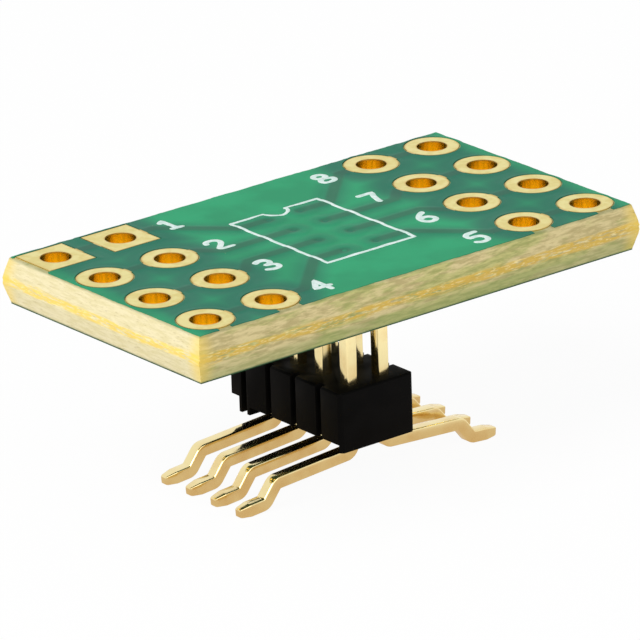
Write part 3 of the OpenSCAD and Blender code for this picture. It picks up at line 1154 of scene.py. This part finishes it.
@dataclass
class BentContact:
    """One square wire of the header, bent into a gull-wing leg."""

    circuit: Circuit
    material: bpy.types.Material
    top: float
    wire: float = 0.41
    corner: float = 0.045
    bend_r: float = 0.3
    arm: float = 2.71
    arm_slope: float = 3.8
    knee_r: float = 0.25
    drop: float = 0.5
    drop_slope: float = 52.0
    heel_r: float = 0.28
    foot: float = 0.5
    foot_slope: float = 4.5
    tip: float = 0.42
    tip_w: float = 0.28

    @property
    def leg_drop(self) -> float:
        """Height of the first bend's start above the feet's soles."""
        arm, drop, foot = (math.radians(v) for v in (self.arm_slope, self.drop_slope, self.foot_slope))
        return (self.bend_r * math.cos(arm) + self.arm * math.sin(arm)
                + self.knee_r * (math.cos(arm) - math.cos(drop)) + self.drop * math.sin(drop)
                + self.heel_r * (math.cos(foot) - math.cos(drop))
                + self.foot * math.sin(foot) + self.wire / 2 * math.cos(foot))

    def section(self, bm: bmesh.types.BMesh) -> list[bmesh.types.BMFace]:
        """Draws the wire's section, a square with rounded corners.

        Args:
            bm: Where it goes.

        Returns:
            Its face, in a list.
        """
        made = bmesh.ops.create_grid(bm, x_segments=1, y_segments=1, size=self.wire / 2)
        bmesh.ops.bevel(bm, geom=made["verts"], offset=self.corner, offset_type="OFFSET", segments=3,
                        profile=0.5, affect="VERTICES", material=-1)
        return list(bm.faces)

    def run(self, bm: bmesh.types.BMesh, face: list[bmesh.types.BMFace], way: Vector,
            length: float) -> list[bmesh.types.BMFace]:
        """Draws the wire out straight.

        Args:
            bm: The wire.
            face: Its open end.
            way: Direction that it heads in.
            length: How far it goes.

        Returns:
            Its new end.
        """
        made = bmesh.ops.extrude_face_region(bm, geom=face)["geom"]
        verts = [v for v in made if isinstance(v, bmesh.types.BMVert)]
        bmesh.ops.translate(bm, vec=way * length, verts=verts)
        return [f for f in made if isinstance(f, bmesh.types.BMFace)]

    def bend(self, bm: bmesh.types.BMesh, face: list[bmesh.types.BMFace], way: Vector, radius: float,
             turn: float, steps: int) -> tuple[list[bmesh.types.BMFace], Vector]:
        """Bends the wire in the plane of its leg.

        Args:
            bm: The wire.
            face: Its open end.
            way: Direction that it heads in.
            radius: Radius at the middle of the wire.
            turn: Angle in degrees, outwards if positive.
            steps: Faces round the bend.

        Returns:
            Its new end and direction.
        """
        outward = Vector((-way.z, 0, way.x)) * (1 if turn > 0 else -1)
        middle = face[0].calc_center_median()
        centre = middle + outward * radius
        angle = -math.radians(turn)
        geom = [*face, *face[0].verts, *face[0].edges]
        made = bmesh.ops.spin(bm, geom=geom, cent=centre, axis=(0, 1, 0), angle=angle, steps=steps,
                              use_merge=False, use_duplicate=False)["geom_last"]
        end = [f for f in made if isinstance(f, bmesh.types.BMFace)]
        return end, Matrix.Rotation(angle, 3, "Y") @ way

    def taper(self, bm: bmesh.types.BMesh, face: list[bmesh.types.BMFace], way: Vector) -> None:
        """Draws the wire's end down to its blunt tip.

        Args:
            bm: The wire.
            face: Its open end.
            way: Direction that it heads in.
        """
        normal = Vector((-way.z, 0, way.x))
        turn = Matrix((way, Vector((0, 1, 0)), normal)).to_4x4()
        slim = self.tip_w / self.wire
        before = 1.0
        for length, width in ((self.tip * 0.8, 1 + (slim - 1) * 0.8), (self.tip * 0.13, slim * 0.94),
                              (self.tip * 0.05, slim * 0.78), (self.tip * 0.02, slim * 0.55)):
            face = self.run(bm, face, way, length)
            centre = face[0].calc_center_median()
            bmesh.ops.scale(bm, vec=(1.0, width / before, width / before), verts=face[0].verts,
                            space=turn @ Matrix.Translation(-centre))
            before = width

    def build(self) -> bpy.types.Object:
        """Builds the contact.

        Returns:
            The piece.
        """
        bm = bmesh.new()
        face = self.section(bm)
        x, y = self.circuit.contact
        bmesh.ops.translate(bm, vec=(abs(x), y, self.leg_drop), verts=bm.verts)
        way = Vector((0, 0, -1))
        face = self.run(bm, face, way, 0.0)
        start = [v for v in bm.verts if v not in face[0].verts]
        bmesh.ops.translate(bm, vec=(0, 0, self.top - self.leg_drop), verts=start)
        face, way = self.bend(bm, face, way, self.bend_r, 90 - self.arm_slope, 14)
        face = self.run(bm, face, way, self.arm)
        face, way = self.bend(bm, face, way, self.knee_r, self.arm_slope - self.drop_slope, 10)
        face = self.run(bm, face, way, self.drop)
        face, way = self.bend(bm, face, way, self.heel_r, self.drop_slope - self.foot_slope, 10)
        face = self.run(bm, face, way, self.foot)
        self.taper(bm, face, way)
        if self.circuit.side is Side.LEFT:
            bmesh.ops.scale(bm, vec=(-1, 1, 1), verts=bm.verts)
        bmesh.ops.recalc_face_normals(bm, faces=bm.faces)
        name = f"contact_{self.circuit.number}"
        return settle(object_from(bm, f"gold_{name}", self.material), [name])


# --------------------------------------------------------------------- studio


@dataclass
class Studio:
    """Pale floor, soft lamps and the camera at the photograph's view."""

    focus: tuple[float, float, float]
    azimuth: float = -38.0505515
    elevation: float = 20.4549429
    roll: float = -1.91501237
    shift_x: float = -0.0705199756
    shift_y: float = -2.83606694
    distance: float = 221.893191
    lens: float = 396.764
    floor_size: float = 4.0
    # Floor colour in reflections near the adapter: painted shade, darker and warm as if lit by the gold legs.
    warm_painted_shade: Colour = (0.76, 0.62, 0.48)

    def camera(self) -> None:
        """Places the camera."""
        az, el, roll = (math.radians(v) for v in (self.azimuth, self.elevation, self.roll))
        right = Vector((math.cos(az), math.sin(az), 0))
        back = Vector((math.sin(az) * math.cos(el), -math.cos(az) * math.cos(el), math.sin(el)))
        up = back.cross(right)
        right_r = math.cos(roll) * right + math.sin(roll) * up
        up_r = -math.sin(roll) * right + math.cos(roll) * up
        eye = Vector(self.focus) + back * self.distance + right_r * self.shift_x + up_r * self.shift_y
        data = bpy.data.cameras.new("camera")
        data.lens = self.lens
        data.sensor_width = 36.0
        data.clip_start = 0.001
        camera = bpy.data.objects.new("camera", data)
        turn = Matrix((right_r, up_r, back)).transposed().to_4x4()
        camera.matrix_world = Matrix.Translation(eye * MM) @ turn
        bpy.context.scene.collection.objects.link(camera)
        bpy.context.scene.camera = camera

    def seen_rays(self, sheet: NodeSheet, mirrored: object = 1.0) -> bpy.types.NodeSocket:
        """Adds a mask of the rays that see the backdrop itself.

        Args:
            sheet: Tree that the nodes go into.
            mirrored: Its value for glossy rays.

        Returns:
            1 for camera and transmission rays, and 0 for those that light the scene.
        """
        path = sheet.add("LightPath")
        total = sheet.math("MULTIPLY_ADD", path.outputs["Is Glossy Ray"], mirrored, path.outputs["Is Camera Ray"])
        total = sheet.math("ADD", total, path.outputs["Is Transmission Ray"])
        return sheet.math("MINIMUM", total, 1.0)

    def world(self, ambient: float) -> None:
        """Lights the adapter from all round.

        Args:
            ambient: Strength of the light that isn't seen itself.
        """
        world = bpy.data.worlds.new("studio")
        world.use_nodes = True
        bpy.context.scene.world = world
        sheet = NodeSheet(world.node_tree)
        background = world.node_tree.nodes["Background"]
        background.inputs["Color"].default_value = (1, 1, 1, 1)
        strength = sheet.math("MULTIPLY_ADD", self.seen_rays(sheet), 1.0 - ambient, ambient)
        sheet.tree.links.new(strength, background.inputs["Strength"])

    def floor(self) -> None:
        """Lays the pale floor, whose reflection is painted: warmer and darker near the adapter, brighter farther out.
        """
        bm = bmesh.new()
        bmesh.ops.create_grid(bm, x_segments=1, y_segments=1, size=self.floor_size / MM / 2)
        bmesh.ops.translate(bm, vec=(0, 0, -0.01), verts=bm.verts)
        material = bpy.data.materials.new("pale_floor")
        material.use_nodes = True
        sheet = NodeSheet(material.node_tree)
        shader = material.node_tree.nodes["Principled BSDF"]
        set_inputs(shader, {"Base Color": (0.95, 0.95, 0.95), "Roughness": 0.9, "Specular IOR Level": 0.0})
        # Painted shade and light in reflections: glossy rays see the floor warm and darker near the adapter, fading
        # out by 13 mm, and up to a quarter brighter than white from 11 mm outwards.
        glossy = sheet.add("LightPath").outputs["Is Glossy Ray"]
        away = sheet.add("VectorMath", links={0: place_in_mm(sheet)}, operation="LENGTH").outputs[1]
        painted_shade_near = sheet.math("MULTIPLY", glossy, sheet.ramp(away, 13.0, 5.0))
        painted_glow_far = sheet.math("MULTIPLY", glossy, sheet.ramp(away, 11.0, 17.0))
        glow = sheet.add("Emission", links={
            "Color": sheet.mix(painted_shade_near, (1.0, 1.0, 1.0), self.warm_painted_shade),
            "Strength": sheet.math("MULTIPLY_ADD", painted_glow_far, 0.25, 1.0)})
        share = sheet.math("MULTIPLY", self.seen_rays(sheet), 0.95)
        blend = sheet.add("MixShader", links={0: share, 1: shader.outputs[0], 2: glow.outputs[0]})
        sheet.tree.links.new(blend.outputs[0], material.node_tree.nodes["Material Output"].inputs["Surface"])
        object_from(bm, "floor", material)

    def lamp(self, name: str, azimuth: float, elevation: float, size: float, power: float) -> None:
        """Hangs a soft square lamp that faces the board.

        Args:
            name: Its name.
            azimuth: Its direction from the board, 0 in front and 90 to the right.
            elevation: Its angle above the horizon.
            size: Its side in metres.
            power: Its power in watts.
        """
        az, el = math.radians(azimuth), math.radians(elevation)
        way = Vector((math.sin(az) * math.cos(el), -math.cos(az) * math.cos(el), math.sin(el)))
        data = bpy.data.lights.new(name, "AREA")
        data.size = size
        data.energy = power
        lamp = bpy.data.objects.new(name, data)
        lamp.matrix_world = Matrix.Translation(Vector(self.focus) * MM + way * 0.5) @ way.to_track_quat(
            "Z", "Y").to_matrix().to_4x4()
        bpy.context.scene.collection.objects.link(lamp)

    def build(self) -> None:
        """Sets the studio up."""
        self.camera()
        self.world(0.38)
        self.floor()
        self.lamp("key_lamp", -85.0, 48.0, 0.3, 1.9)
        self.lamp("front_lamp", -5.0, 30.0, 0.4, 0.5)
        settings = bpy.context.scene.view_settings
        settings.view_transform = "Standard"


# ----------------------------------------------------------------------- main


def main() -> None:
    """Dresses the adapter and sets up its picture."""
    logging.basicConfig(level=logging.INFO, format="%(message)s")
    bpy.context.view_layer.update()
    pad_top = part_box("copper_net_1")[1][2] / MM
    Studio((0.0, 0.0, pad_top)).build()
    grain = grain_group()
    low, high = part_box("laminate")
    bottom, top = low[2] / MM, high[2] / MM
    laminate = LaminateFinish("glass_epoxy_edge", 0.8, bottom=bottom, top=top).build(grain)
    mask = MaskFinish("green_solder_mask", 0.45, grain=6.0, patch=0.5, bump=0.08).build(grain)
    # Painted shade: the underside's mask is the same green mask as the top, given a darker, browner colour because it
    # lies in shade; this also darkens its reflection in the gold legs.
    shaded_under_mask = MaskFinish("green_mask_underside_painted_shade", 0.45, grain=6.0, patch=0.5, bump=0.08,
                            bare=(0.034, 0.092, 0.042), bare_patch=(0.032, 0.076, 0.038)).build(grain)
    pads, square_pads = (
        PadFinish(name, 0.34, grain=14.0, patch=2.5, bump=0.15, bump_depth=0.006, pale=(0.79, 0.70, 0.27),
                  deep=(0.72, 0.61, 0.21), top=pad_top, bottom=bottom + top - pad_top,
                  shape=shape).build(grain)
        for name, shape in (("gold_pad_plating", PadShape.ROUND), ("gold_square_pads", PadShape.SQUARE)))
    gold = MetalFinish("gold_contact_plating", 0.15, grain=2.0, patch=1.2, bump=0.01, bump_depth=0.005,
                       pale=(0.87, 0.74, 0.39), deep=(0.82, 0.64, 0.31), spread=0.08).build(grain)
    solder = MetalFinish("bright_solder", 0.28, grain=12.0, patch=3.0, pale=(0.78, 0.79, 0.80),
                         deep=(0.60, 0.61, 0.62)).build(grain)
    plastic = PlainFinish("black_header_plastic", 0.55, grain=16.0, patch=1.5, bump=0.15, bump_depth=0.01,
                          tone=(0.0030, 0.0029, 0.0028), other=(0.0048, 0.0045, 0.0043), specular=0.03).build(grain)
    ink = PlainFinish("white_legend_ink", 0.6, grain=9.0, patch=5.0, bump=0.15, bump_depth=0.008,
                      tone=(0.78, 0.90, 0.87), other=(0.62, 0.80, 0.74), specular=0.1).build(grain)
    circuits = [Circuit(number) for number in range(1, 9)]

    SnappedLaminate(laminate).build()
    HeaderBlock(plastic, circuits).build()
    dress("solder_mask_bottom", shaded_under_mask)
    for circuit in circuits:
        dress(f"copper_net_{circuit.number}", square_pads if circuit.pad_shape is PadShape.SQUARE else pads)
        dress(f"solder_joint_{circuit.number}", solder)
        contact_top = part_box(f"contact_{circuit.number}")[1][2] / MM
        BentContact(circuit, gold, contact_top).build()
    low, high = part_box("solder_mask_top")
    film = MaskFilm(circuits, mask, (high[0] - low[0]) / MM, (high[1] - low[1]) / MM, top).build()
    numbers = PinNumbers(ink, film)
    numbers.build()
    PackageOutline(numbers).build()


if __name__ == "__main__":
    main()
